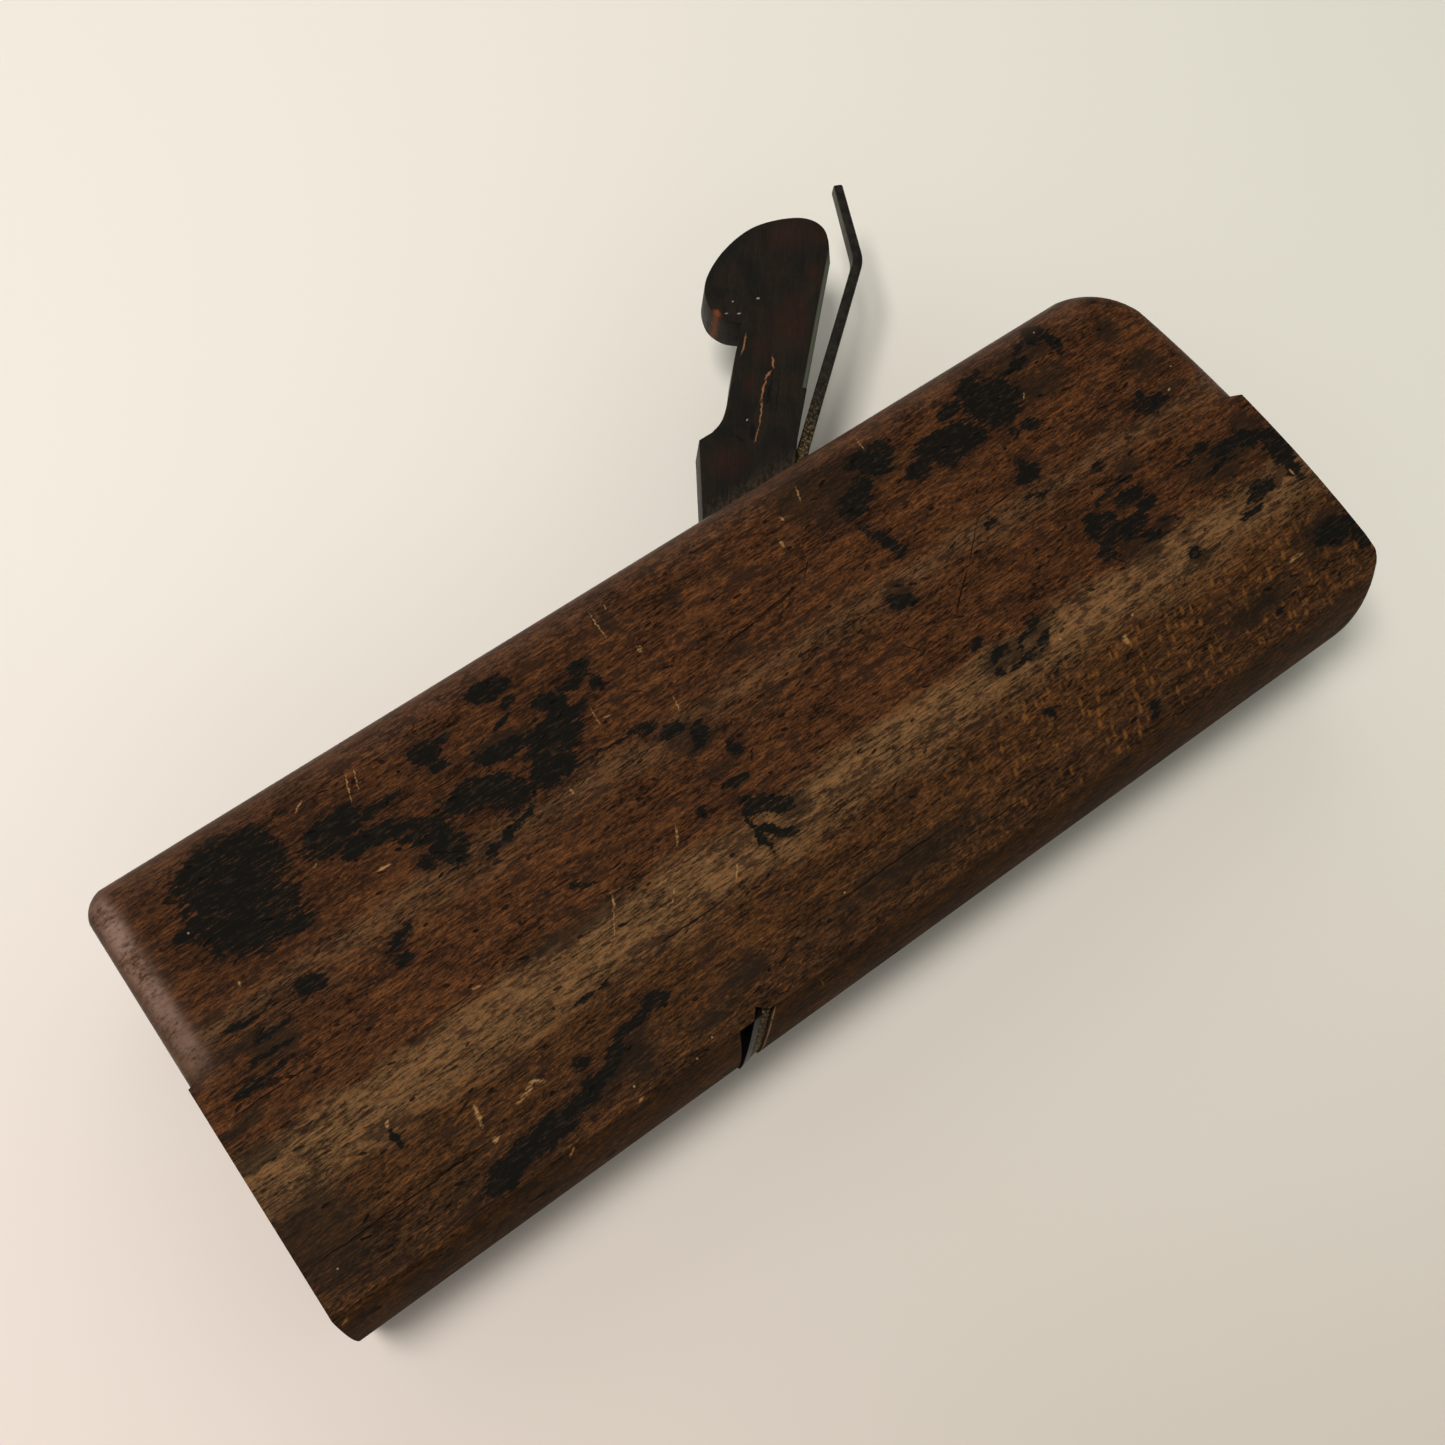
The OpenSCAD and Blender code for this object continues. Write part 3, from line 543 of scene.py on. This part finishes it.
# Marks on the wedge, in the same measure
WEDGE_BARE = [
    (155.6, 99.4, 2.2, 0.14, 42), (159, 102.8, 3.2, 0.17, 47), (162.6, 106.8, 2.9, 0.22, 43),
    (165.4, 109.2, 1.4, 0.2, 20), (168, 111, 1.6, 0.2, 54), (165.4, 117.6, 2.6, 0.24, 42),
]
WEDGE_DARK = [
    (155, 100.4, 0.7, 2.1, -38), (164.5, 104.6, 4.6, 0.16, 50), (155.6, 103.2, 0.7, 0.7, 0),
    (152, 100.6, 0.4, 1.2, 0), (163.5, 106, 3.6, 0.3, 45),
]
WEDGE_NICKS = [
    (166.6, 125.4, 0.5, 0.16, -20), (168.8, 124, 0.55, 0.22, -20), (174.3, 124.8, 0.5, 0.3, -20),
    (169.4, 127, 0.35, 0.2, 10), (155.7, 103.1, 0.4, 0.22, 20),
]
WEDGE_RED = [
    (189, 134, 5, 3.4, 0), (194, 130.6, 2, 2.4, 0), (188, 123.6, 2.6, 1.6, 45), (176, 116, 6, 4, 45),
    (161, 109.6, 2.6, 1.2, 45), (168, 115, 3, 2, 45), (147, 98, 4, 3, 0), (181, 119, 3, 1.4, 50),
]


def dark_beech(look):
    """The wedge: the same beech, nearly black with handling, a split and bared spots."""
    s = Shader("dark_beech")
    along = s.mapped((0, 0, 0), PITCH, (1, 1, 1))
    fibre = s.noise((6, 0.35, 0.35), 4, 0.62, along, seed=2)
    streak = s.noise((24, 2.2, 2.2), 4, 0.6, along, seed=3)
    cloud = s.noise((7, 4.5, 6), 4, 0.55, along, seed=5)
    fine = s.noise((1.4, 0.7, 1.2), 4, 0.7, along, seed=6)
    colour = s.mix(cloud.step(0.4, 0.66), look.wedge_black, look.wedge_brown)
    red = (s.marks(WEDGE_RED) + (cloud - 0.5) * 3.4 + (fine - 0.5) * 3.0).step(1.5, 0.3)
    colour = s.mix(red * 0.28, colour, look.wedge_red)
    colour = s.brightness(colour, 0.75 + fibre.step(0.3, 0.7) * 0.25 + (streak - 0.5) * 0.8 + (fine - 0.5) * 0.9)
    upper = s.z.step(WEDGE_TOP - 3, WEDGE_TOP - 1.5)
    orange = (s.marks([(165.0, 126.4, 0.9, 1.2, 10)]) + (fine - 0.5) * 1.6).step(1.2, 0.3)
    colour = s.mix(orange * 0.7, colour, look.wedge_orange)
    shifted = s.shifted((1.6, 1.6, 2), 1.5)
    bare = s.marks(WEDGE_BARE, shifted).step(1.2, 0.5) * upper
    deep = s.marks(WEDGE_DARK, shifted).step(1.3, 0.6) * upper
    nick = s.marks(WEDGE_NICKS).step(1.0, 0.4) * upper
    colour = s.mix(deep * 0.9, colour, srgb(12, 9, 8))
    colour = s.mix(bare * 0.75, colour, look.bare_wood)
    colour = s.mix(nick * 0.6, colour, look.nick)
    # The bevel along the back is painted a light greenish grey, a painted highlight where it catches the light, and
    # the side walls are mottled a little greyer
    rim = s.z.step(WEDGE_TOP - 0.1, WEDGE_TOP - 0.5)
    back = rim * s.z.step(WEDGE_TOP - 1.6, WEDGE_TOP - 1.1) * (s.x - s.y).step(-37, -32)
    back = back * s.y.step(102, 98) * s.y.step(44, 68)
    colour = s.mix(rim * cloud.step(0.4, 0.65) * 0.4, colour, look.grey_walls)
    colour = s.mix(back * (0.55 + fine * 0.3), colour, look.bevel)
    dust = s.y.step(94 + SOLE_Y, 88 + SOLE_Y) * fine.step(0.4, 0.6)
    colour = s.mix(dust * 0.35, colour, srgb(96, 80, 64))
    rough = 0.5 + (fine - 0.5) * 0.3 - red * 0.06
    relief = fibre * 0.03 + cloud * 0.12 + fine * 0.03
    return s.surface(colour, rough, relief, specular=0.08)


def wrought_iron(look):
    """Forged iron: grey-black skin with rust in its hollows, yellow-brown near the stock."""
    s = Shader("wrought_iron")
    scale = s.noise((2.2, 2.2, 2.2), 5, 0.65, seed=11)
    fine = s.noise((0.5, 0.5, 0.5), 4, 0.7, seed=12)
    broad = s.noise((9, 9, 9), 3, 0.5, seed=13)
    y = s.y - SOLE_Y
    # 1 on level faces and 0 on the tang's upright sides
    upright = s.split(Field(s, s.node("ShaderNodeTexCoord").outputs["Normal"]))[2]
    rust = (scale * 0.6 + fine * 0.5 + y.step(104, 86) * 0.22).step(0.55, 0.72)
    colour = s.mix(scale.step(0.35, 0.7), look.iron_dark, look.iron_grey)
    colour = s.mix(rust * 0.75, colour, look.rust_brown)
    bright = (rust * 0.6 + 0.4) * fine.step(0.48, 0.62) * y.step(110, 88)
    colour = s.mix(bright * 0.75, colour, look.rust_yellow)
    # painted sheen: the tang's upright sides are lightened to a grey, standing in for the light they catch
    side = upright.step(0.8, 0.45) * y.step(96, 118)
    colour = s.mix(side * (0.3 + fine * 0.5), colour, look.side_sheen)
    colour = s.brightness(colour, 0.5 + broad * 0.6)
    rough = 0.5 + rust * 0.3 + (fine - 0.5) * 0.2
    relief = scale * 0.12 + fine * 0.08 + rust * 0.05 + broad * 0.15
    return s.surface(colour, rough, relief, metallic=0.15 - rust * 0.14, specular=0.12)


def edge_steel(look):
    """The steel laid on the blade: dull grey, blotched with darker stains."""
    s = Shader("edge_steel")
    fine = s.noise((0.35, 3, 3), 3, 0.6, seed=14)
    blot = s.noise((2.4, 2.4, 2.4), 4, 0.6, seed=15)
    colour = s.mix(blot.step(0.5, 0.7), look.steel, look.iron_dark)
    rough = 0.36 + blot * 0.3
    return s.surface(colour, rough, fine * 0.02 + blot * 0.04, metallic=0.9, specular=0.5)


# ---------------------------------------------------------------- meshes


def merged_copy(node, name):
    """The CAD node's mesh as a new object: doubles merged and flat regions made whole faces."""
    work = bmesh.new()
    work.from_mesh(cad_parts[node].data)
    bmesh.ops.remove_doubles(work, verts=work.verts, dist=1e-6)
    bmesh.ops.dissolve_degenerate(work, edges=work.edges, dist=1e-6)
    bmesh.ops.dissolve_limit(
        work, angle_limit=math.radians(0.4), verts=work.verts, edges=work.edges, delimit={"NORMAL"}
    )
    mesh = bpy.data.meshes.new(name)
    work.to_mesh(mesh)
    work.free()
    made = bpy.data.objects.new(name, mesh)
    bpy.context.scene.collection.objects.link(made)
    return made


def applied(made):
    """Turns what the modifiers make into the object's own mesh."""
    bpy.context.view_layer.update()
    evaluated = made.evaluated_get(bpy.context.evaluated_depsgraph_get())
    mesh = bpy.data.meshes.new_from_object(evaluated)
    made.modifiers.clear()
    made.data = mesh
    return made


def soften(made, width, angle=28.0, segments=2, share=None):
    """Breaks the sharp edges by a round, of the share of the width that share gives for each edge's middle."""
    weights = made.data.attributes.new("bevel_weight_edge", "FLOAT", "EDGE")
    work = bmesh.new()
    work.from_mesh(made.data)
    work.edges.ensure_lookup_table()
    for edge in work.edges:
        if edge.calc_face_angle(0) > math.radians(angle):
            middle = (edge.verts[0].co + edge.verts[1].co) / 2 / MM
            weights.data[edge.index].value = share(middle) if share else 1.0
    work.free()
    bevel = made.modifiers.new("broken_edges", "BEVEL")
    bevel.width = width
    bevel.segments = segments
    bevel.limit_method = "WEIGHT"
    bevel.harden_normals = False
    bevel.use_clamp_overlap = True
    return made


def shade(made, angle=32.0):
    """Smooth shading, with edges sharper than the angle kept crisp and level faces kept flat."""
    made.data.set_sharp_from_angle(angle=math.radians(angle))
    made.data.polygons.foreach_set("use_smooth", [abs(face.normal.z) < 0.9999 for face in made.data.polygons])
    return made


def grown(name, mesh, tree, values):
    """A new object whose mesh is what a Geometry Nodes tree makes of the given mesh."""
    made = bpy.data.objects.new(name, mesh)
    bpy.context.scene.collection.objects.link(made)
    modifier = made.modifiers.new(name, "NODES")
    modifier.node_group = tree
    for socket in tree.interface.items_tree:
        if socket.in_out == "INPUT" and socket.name in values:
            modifier[socket.identifier] = values[socket.name]
    return applied(made)


def paths(marks, height):
    """The middle lines of a list of ovals as edges at one height, with their half widths."""
    mesh = bpy.data.meshes.new("paths")
    points = []
    for x, y, length, _, angle in marks:
        reach = Vector((math.cos(math.radians(angle)), math.sin(math.radians(angle)), 0)) * length
        points += [(on_stock(x, y, height) - reach) * MM, (on_stock(x, y, height) + reach) * MM]
    mesh.from_pydata(points, [(i, i + 1) for i in range(0, len(points), 2)], [])
    widths = mesh.attributes.new("half_width", "FLOAT", "POINT")
    widths.data.foreach_set("value", [mark[3] * MM for mark in marks for _ in range(2)])
    return mesh


def patch(x0, y0, x1, y1, height):
    """One flat face at a height, given from the toe and the sole."""
    mesh = bpy.data.meshes.new("patch")
    corners = [(x0, y0), (x1, y0), (x1, y1), (x0, y1)]
    mesh.from_pydata([on_stock(x, y, height) * MM for x, y in corners], [], [(0, 1, 2, 3)])
    return mesh


def worn_corner(made, radius):
    """Wears the corner between heel and sole round, by lifting the sole's end along a quarter circle."""
    heel = -2 * TOE_X
    work = bmesh.new()
    work.from_mesh(made.data)
    for turn in range(0, 90, 10):
        station = on_stock(heel - radius + radius * math.sin(math.radians(turn)), 0) * MM
        low = [face for face in work.faces if face.calc_center_median().y < (SOLE_Y + 5) * MM]
        sole = [face for face in low if face.normal.y < -0.3]
        parts = {part for face in sole for part in (*face.verts, *face.edges, face)}
        bmesh.ops.bisect_plane(work, geom=list(parts), dist=1e-7, plane_co=station, plane_no=(1, 0, 0))
    for vert in work.verts:
        along = vert.co.x / MM - TOE_X - heel + radius
        if along > 0 and vert.co.y / MM < SOLE_Y + 5:
            vert.co.y += (radius - math.sqrt(max(radius**2 - along**2, 0))) * MM
    work.to_mesh(made.data)
    work.free()
    return made


def carved(made, *cutters, crossing=False):
    """Takes the cutters out of a piece for good; crossing says that a cutter's own parts run into each other."""
    for cutter in cutters:
        cut = made.modifiers.new(cutter.name, "BOOLEAN")
        cut.operation = "DIFFERENCE"
        cut.solver = "EXACT"
        cut.use_self = crossing
        cut.object = cutter
    applied(made)
    for cutter in cutters:
        bpy.data.objects.remove(cutter)
    return made


def finish_piece(made, material, body, node):
    made.data.materials.clear()
    made.data.materials.append(material)
    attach(made, body)
    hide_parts(node)


# ---------------------------------------------------------------- settings


def colour_setting(name, description, value):
    return bpy.props.FloatVectorProperty(
        name=name, description=description, subtype="COLOR", size=3, min=0, max=1, default=value
    )


def length_setting(name, description, value):
    return bpy.props.FloatProperty(
        name=name, description=description, default=value * MM, min=0, unit="LENGTH", subtype="DISTANCE"
    )


class StockLook(bpy.types.PropertyGroup):
    """Colours of the stock"""

    sole_brown: colour_setting("Sole", "Wood along the sole", srgb(54, 35, 19))
    # painted shade on the sole's curve
    sole_shade: colour_setting("Sole tint", "What the sole's curve keeps of its light", (0.78, 0.68, 0.28))
    orange_brown: colour_setting("Orange brown", "Wood below the tan band", srgb(62, 39, 19))
    tan_band: colour_setting("Tan band", "Light band along the grain", srgb(94, 68, 42))
    red_brown: colour_setting("Red brown", "Main colour of the upper part", srgb(66, 39, 20))
    grey_band: colour_setting("Grey band", "Faded band above the middle", srgb(76, 53, 33))
    grip_brown: colour_setting("Grip", "Wood along the top", srgb(70, 46, 31))
    bright_grain: colour_setting("Bright grain", "Light fibres", srgb(118, 70, 32))
    fleck: colour_setting("Ray flecks", "Light flecks low down", srgb(124, 80, 36))
    stain_rim: colour_setting("Stain rim", "Wood round a stain", srgb(38, 22, 13))
    smudge: colour_setting("Smudges", "Small dark dirt along the grain", srgb(34, 22, 16))
    film: colour_setting("Film", "Thin greenish dirt", srgb(32, 25, 17))
    tar: colour_setting("Tar", "Black stains", srgb(17, 16, 13))
    tar_grey: colour_setting("Dull tar", "Greyer parts of the stains", srgb(42, 37, 29))
    # painted sheen on the worn arrises, besides their real polish
    polish_and_sheen: colour_setting("Polish", "Hand-worn arrises", srgb(80, 58, 45))
    # painted highlight on the mouth's lip
    lip_highlight: colour_setting("Lip", "Pale edge where the bed meets the sole", srgb(176, 146, 116))
    # painted highlight along the toe's round
    toe_highlight: colour_setting("Toe polish", "Shiny arris of the toe", srgb(140, 112, 98))
    bare_wood: colour_setting("Bare wood", "Fresh scratches", srgb(168, 126, 80))
    nick: colour_setting("Nicks", "Tiny pale nicks", srgb(160, 134, 106))
    edge_round: length_setting("Edge round", "Width of the broken edges", 0.3)
    arris_round: length_setting("Arris round", "Width of the worn arris round the face", 0.9)
    heel_round: length_setting("Heel round", "Radius of the worn corner between heel and sole", 7.5)
    crack_jag: length_setting("Crack jag", "How far a crack strays from its line", 0.9)
    dent_length: length_setting("Dent length", "Half length of a middling dent", 0.9)
    dent_density: bpy.props.FloatProperty(
        name="Dents", description="Dents on a square metre of the face", default=26000, min=0
    )


class WedgeLook(bpy.types.PropertyGroup):
    """Colours of the wedge"""

    wedge_black: colour_setting("Black", "Darkest wood", srgb(24, 22, 17))
    wedge_brown: colour_setting("Brown", "Main colour", srgb(35, 27, 20))
    wedge_red: colour_setting("Red brown", "Rubbed patches", srgb(66, 32, 21))
    wedge_orange: colour_setting("Orange", "Bare spot on the head", srgb(128, 66, 28))
    bare_wood: colour_setting("Bare wood", "Edges of the split", srgb(150, 100, 66))
    nick: colour_setting("Nicks", "Tiny pale nicks", srgb(178, 168, 152))
    # painted highlight on the back bevel
    bevel: colour_setting("Bevel", "Greenish grey bevel along the back", srgb(104, 108, 92))
    grey_walls: colour_setting("Rubbed walls", "Greyer side walls", srgb(56, 48, 40))
    edge_round: length_setting("Edge round", "Width of the broken edges", 0.9)


class IronLook(bpy.types.PropertyGroup):
    """Colours of the iron and its steel"""

    iron_dark: colour_setting("Dark iron", "Forged skin", srgb(20, 18, 15))
    iron_grey: colour_setting("Grey iron", "Rubbed skin", srgb(44, 40, 33))
    rust_brown: colour_setting("Brown rust", "Rust in the hollows", srgb(56, 40, 26))
    rust_yellow: colour_setting("Yellow rust", "Bright rust by the stock", srgb(148, 124, 82))
    # painted sheen on the tang's upright sides
    side_sheen: colour_setting("Side", "Lighter side of the tang", srgb(112, 110, 98))
    steel: colour_setting("Steel", "Steel facing", srgb(40, 38, 36))
    edge_round: length_setting("Edge round", "Width of the broken edges", 0.45)


class StageLook(bpy.types.PropertyGroup):
    """Camera, floor and lights"""

    floor_warm: colour_setting("Floor", "Pale floor", srgb(244, 238, 229))
    floor_cool: colour_setting("Floor, far side", "Pale floor away from the light", srgb(235, 232, 221))
    floor_pink: colour_setting("Floor, near side", "Pale floor towards the toe", srgb(240, 225, 217))
    # painted shade on the floor below the sole
    floor_shade: colour_setting("Floor, near right", "Pale floor below the sole", srgb(213, 203, 192))
    lens: bpy.props.FloatProperty(name="Lens", description="Focal length", default=41.16, min=10, unit="CAMERA")
    key_power: bpy.props.FloatProperty(
        name="Key light", description="Power of the main light", default=9.8, min=0, unit="POWER"
    )
    fill_power: bpy.props.FloatProperty(
        name="Fill light", description="Power of the second light", default=3.5, min=0, unit="POWER"
    )
    sky: bpy.props.FloatProperty(name="Sky", description="Strength of the even light", default=0.54, min=0)


# ---------------------------------------------------------------- operators


def stock_share(middle, look):
    """How much of the widest round an edge gets: all round the upper face, less elsewhere."""
    x, y = middle.x - TOE_X, middle.y - SOLE_Y
    # The mouth's edges stay crisp
    mouth = 74 < x < 102 and y < 12
    outer = middle.z > FACE_Z - 0.01 and not mouth
    return 1.0 if outer else look.edge_round / look.arris_round


class PLANE_OT_stock(bpy.types.Operator):
    """Dress the stock in worn beech with broken edges"""

    bl_idname = "plane.stock"
    bl_label = "Stock"

    def execute(self, context):
        look = context.scene.plane_stock
        made = merged_copy("stock", "stock_worn")
        worn_corner(made, look.heel_round / MM)
        soften(made, look.arris_round, segments=4, share=lambda middle: stock_share(middle, look))
        applied(made)
        material = worn_beech(look)
        cracks = grown("cracks", paths(CRACKS, FACE_Z), groove_tree(), {"Jag": look.crack_jag, "Material": material})
        sizes = {"Density": look.dent_density, "Length": look.dent_length, "Material": material}
        # The dents keep off the rounded ends, so they lie on two patches: below and beside the grip's end rounds
        dents = grown("dents", patch(5, 8, 236, 44, FACE_Z), dent_tree(), sizes)
        more = grown("more_dents", patch(13, 44, 226, 82, FACE_Z), dent_tree(), {**sizes, "Seed": 9})
        carved(made, dents, more)
        carved(made, cracks, crossing=True)
        shade(made)
        if len(made.data.polygons) < 1000:
            raise RuntimeError("the stock has lost its faces or its dents")
        finish_piece(made, material, "stock", "stock")
        return {"FINISHED"}


class PLANE_OT_wedge(bpy.types.Operator):
    """Dress the wedge in dark beech with broken edges"""

    bl_idname = "plane.wedge"
    bl_label = "Wedge"

    def execute(self, context):
        look = context.scene.plane_wedge
        made = merged_copy("wedge", "wedge_worn")
        soften(made, look.edge_round, 40, 3)
        applied(made)
        shade(made)
        if len(made.data.polygons) < 50:
            raise RuntimeError("the wedge has lost its faces")
        finish_piece(made, dark_beech(look), "wedge", "wedge")
        return {"FINISHED"}


class PLANE_OT_iron(bpy.types.Operator):
    """Dress the forged iron and the steel laid on it"""

    bl_idname = "plane.iron"
    bl_label = "Iron"

    def execute(self, context):
        look = context.scene.plane_iron
        made = merged_copy("iron", "iron_forged")
        soften(made, look.edge_round, 35, 3)
        applied(made)
        shade(made)
        finish_piece(made, wrought_iron(look), "iron", "iron")
        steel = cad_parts["steel_face"]
        steel.data.materials.clear()
        steel.data.materials.append(edge_steel(look))
        return {"FINISHED"}


class PLANE_OT_stage(bpy.types.Operator):
    """Add the camera, the pale floor and the soft lights"""

    bl_idname = "plane.stage"
    bl_label = "Stage"

    def execute(self, context):
        look = context.scene.plane_stage
        scene = context.scene
        scene.view_settings.view_transform = "Standard"
        camera_data = bpy.data.cameras.new("camera")
        camera_data.lens = look.lens
        camera_data.clip_start = 0.01
        camera = bpy.data.objects.new("camera", camera_data)
        camera.location = Vector((-87.58, -35.36, 324.15)) * MM
        camera.rotation_euler = Euler([math.radians(a) for a in (18.387, -5.5165, -35.7232)])
        scene.collection.objects.link(camera)
        scene.camera = camera

        reach = 1.6
        mesh = bpy.data.meshes.new("floor")
        mesh.from_pydata([(-reach, -reach, 0), (reach, -reach, 0), (reach, reach, 0), (-reach, reach, 0)], [],
                         [(0, 1, 2, 3)])
        floor = bpy.data.objects.new("floor", mesh)
        scene.collection.objects.link(floor)
        s = Shader("pale_floor")
        # The floor's colours are painted light and shade: lighter towards the key light at the left, darker away from
        # it and darkest below the sole
        across = (s.x * 0.81 - s.y * 0.58).step(-190, 170)
        nearer = (s.x * 0.58 + s.y * 0.81).step(90, -170)
        cloud = s.noise((60, 60, 60), 2, 0.5)
        far = s.mix(across, look.floor_warm, look.floor_cool)
        near = s.mix((s.x * 0.81 - s.y * 0.58).step(-170, 60), look.floor_pink, look.floor_shade)
        colour = s.mix(nearer, far, near)
        mesh.materials.append(s.surface(colour, 0.62, cloud * 0.4, specular=0.2))

        self.light(scene, "key", (-0.34, 0.2, 1.2), 0.36, look.key_power, (1.0, 0.96, 0.925))
        self.light(scene, "fill", (0.7, 1.5, 1.5), 1.2, look.fill_power, (1.0, 0.99, 0.95))

        # Even light from all round, with a darker ceiling that keeps the dark wood from greying
        sky = Shader("even_light", "worlds", "Generated")
        tint = sky.mix((sky.z / 1000).step(0.6, 0.9), (0.97, 1.0, 0.95), (0.2, 0.19, 0.18))
        glow = sky.node("ShaderNodeBackground", None, {"Color": tint, "Strength": look.sky})
        out = sky.node("ShaderNodeOutputWorld")
        sky.tree.links.new(glow.outputs[0], out.inputs[0])
        scene.world = sky.material
        return {"FINISHED"}

    @staticmethod
    def light(scene, name, place, side, power, tint):
        data = bpy.data.lights.new(name, "AREA")
        data.shape = "SQUARE"
        data.size = side
        data.energy = power
        data.color = tint
        made = bpy.data.objects.new(name, data)
        made.location = place
        made.rotation_euler = (-Vector(place)).to_track_quat("-Z", "Y").to_euler()
        scene.collection.objects.link(made)


class VIEW3D_PT_plane(bpy.types.Panel):
    """Lists the pieces and their settings"""

    bl_label = "Moulding plane"
    bl_space_type = "VIEW_3D"
    bl_region_type = "UI"
    bl_category = "Plane"

    def draw(self, context):
        for operator, group in STEPS:
            self.layout.operator(operator.bl_idname)
            settings = getattr(context.scene, group)
            for key in settings.bl_rna.properties.keys():
                if key not in {"rna_type", "name"}:
                    self.layout.prop(settings, key)


STEPS = [
    (PLANE_OT_stage, "plane_stage"),
    (PLANE_OT_stock, "plane_stock"),
    (PLANE_OT_wedge, "plane_wedge"),
    (PLANE_OT_iron, "plane_iron"),
]
GROUPS = {"plane_stage": StageLook, "plane_stock": StockLook, "plane_wedge": WedgeLook, "plane_iron": IronLook}
CLASSES = [*GROUPS.values(), *[step[0] for step in STEPS], VIEW3D_PT_plane]


def register():
    for made in CLASSES:
        bpy.utils.register_class(made)
    for name, group in GROUPS.items():
        setattr(bpy.types.Scene, name, bpy.props.PointerProperty(type=group))


def unregister():
    for name in GROUPS:
        delattr(bpy.types.Scene, name)
    for made in reversed(CLASSES):
        bpy.utils.unregister_class(made)


def main():
    register()
    for operator, _ in STEPS:
        getattr(bpy.ops.plane, operator.bl_idname.split(".")[1])()


if __name__ == "__main__":
    main()
